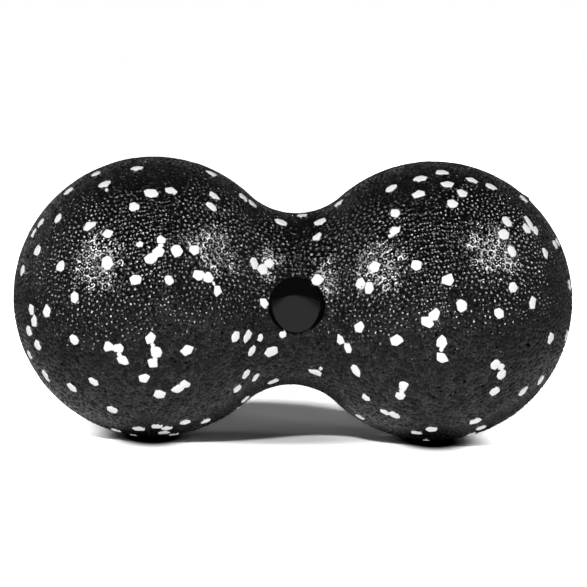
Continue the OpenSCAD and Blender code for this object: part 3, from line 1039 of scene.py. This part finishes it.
floor_mesh = bpy.data.meshes.new("floor")
corners = [(x * FLOOR_HALF, y * FLOOR_HALF, FLOOR_Z * MM) for x, y in ((-1, -1), (1, -1), (1, 1), (-1, 1))]
floor_mesh.from_pydata(corners, [], [(0, 1, 2, 3)])
floor = bpy.data.objects.new("floor", floor_mesh)
scene.collection.objects.link(floor)
floor.data.materials.append(floor_material())

# The world: white for the camera, and a dark studio for the gloss, paler low down at the back and the sides
FILL = 0.028
STUDIO_DARK, STUDIO_BACK = 0.042, 0.2
BAND_HEIGHT, BAND_BACK, BAND_SIDE = (0.05, 0.8), (-0.45, 0.5), (-0.6, 0.6)
LEFT_MORE, RIGHT_LESS = 2.0, 0.8


def studio(t):
    """Level that a glossy ray meets, from its direction."""
    way = parts(t, node(t, "ShaderNodeTexCoord").outputs["Generated"])
    low_down = ramp(t, way["Z"], *BAND_HEIGHT, 1.0, 0.0)
    behind = ramp(t, way["Y"], *BAND_BACK, 0.0, 1.0)
    pale = product(t, low_down, behind, ramp(t, way["X"], *BAND_SIDE, LEFT_MORE, RIGHT_LESS))
    most = STUDIO_DARK + LEFT_MORE * (STUDIO_BACK - STUDIO_DARK)
    return ramp(t, pale, 0.0, LEFT_MORE, STUDIO_DARK, most, smooth=False)


def studio_world():
    world = bpy.data.worlds.new("studio")
    world.use_nodes = True
    t = world.node_tree
    t.nodes.clear()
    path, direct = ray_kinds(t)
    background = node(t, "ShaderNodeBackground")
    background.inputs["Color"].default_value = (1, 1, 1, 1)
    level = mix(t, direct, mix(t, path["Is Glossy Ray"], FILL, studio(t)), 1.0)
    t.links.new(level, background.inputs["Strength"])
    out = node(t, "ShaderNodeOutputWorld")
    t.links.new(background.outputs["Background"], out.inputs["Surface"])
    return world


scene.world = studio_world()

# The lamps. Suns have a name, azimuth from the front to the right, elevation, energy and softness, with the
# angles in degrees. Boxes have a name, a direction and a level
SUN_AWAY = 2.0
BOX_SIZE, BOX_AWAY = 1.44, 2.5
SUNS = [
    ("key", -22, 38, 2.45, 8),
    ("fill_front", 0, 5, 0.28, 20),
    ("fill_right", 62, 6, 0.7, 20),
    ("fill_left", -70, 6, 0.25, 20),
]
BOXES = [
    ("box_left", (-0.718, -0.521, 0.462), 18.5),
    ("box_right", (0.686, -0.388, 0.616), 15.0),
]


def direction(azimuth, elevation):
    az, el = math.radians(azimuth), math.radians(elevation)
    return Vector((math.sin(az) * math.cos(el), -math.cos(az) * math.cos(el), math.sin(el)))


def add_lamp(name, kind, toward, distance):
    """A lamp in the given direction, aimed at the origin."""
    lamp = bpy.data.lights.new(name, kind)
    obj = bpy.data.objects.new(name, lamp)
    scene.collection.objects.link(obj)
    d = Vector(toward).normalized()
    obj.location = d * distance
    obj.rotation_mode = "QUATERNION"
    obj.rotation_quaternion = (-d).to_track_quat("-Z", "Y")
    return obj


def sun(name, azimuth, elevation, energy, softness):
    """A sun lamp that gives no highlight of its own: the soft boxes do that."""
    obj = add_lamp(name, "SUN", direction(azimuth, elevation), SUN_AWAY)
    obj.data.energy = energy
    obj.data.angle = math.radians(softness)
    obj.visible_glossy = False


def soft_box(name, toward, level):
    """A square lamp that only shows in the gloss."""
    obj = add_lamp(name, "AREA", toward, BOX_AWAY)
    obj.data.shape = "SQUARE"
    obj.data.size = BOX_SIZE
    obj.data.energy = level * math.pi * BOX_SIZE**2
    obj.visible_diffuse = False
    obj.visible_camera = False


for values in SUNS:
    sun(*values)
for values in BOXES:
    soft_box(*values)

# The camera, fitted to the photo's outline: metres, degrees and the photo's pixels
PX = 587
CAM_D, CAM_AZ, CAM_EL, CAM_ROLL = 2.0, -2.2, 4.4, 1.052
CAM_PX_PER_MM, CAM_X, CAM_Y = 2.333, 292.9, 298.42
SENSOR = 36.0


def add_camera():
    data = bpy.data.cameras.new("camera")
    obj = bpy.data.objects.new("camera", data)
    scene.collection.objects.link(obj)
    az, roll = math.radians(CAM_AZ), math.radians(CAM_ROLL)
    back = direction(CAM_AZ, CAM_EL)
    right = Vector((math.cos(az), math.sin(az), 0))
    up = back.cross(right)
    across = right * math.cos(roll) + up * math.sin(roll)
    upward = up * math.cos(roll) - right * math.sin(roll)
    rows = [(across[i], upward[i], back[i], back[i] * CAM_D) for i in range(3)]
    obj.matrix_world = Matrix((*rows, (0, 0, 0, 1)))
    data.sensor_fit = "HORIZONTAL"
    data.sensor_width = SENSOR
    data.lens = CAM_PX_PER_MM / MM * CAM_D / PX * SENSOR
    data.shift_x = -(CAM_X - (PX - 1) / 2) / PX
    data.shift_y = (CAM_Y - (PX - 1) / 2) / PX
    data.clip_start, data.clip_end = 0.1, 50
    return obj


scene.camera = add_camera()
scene.view_settings.view_transform = "Standard"
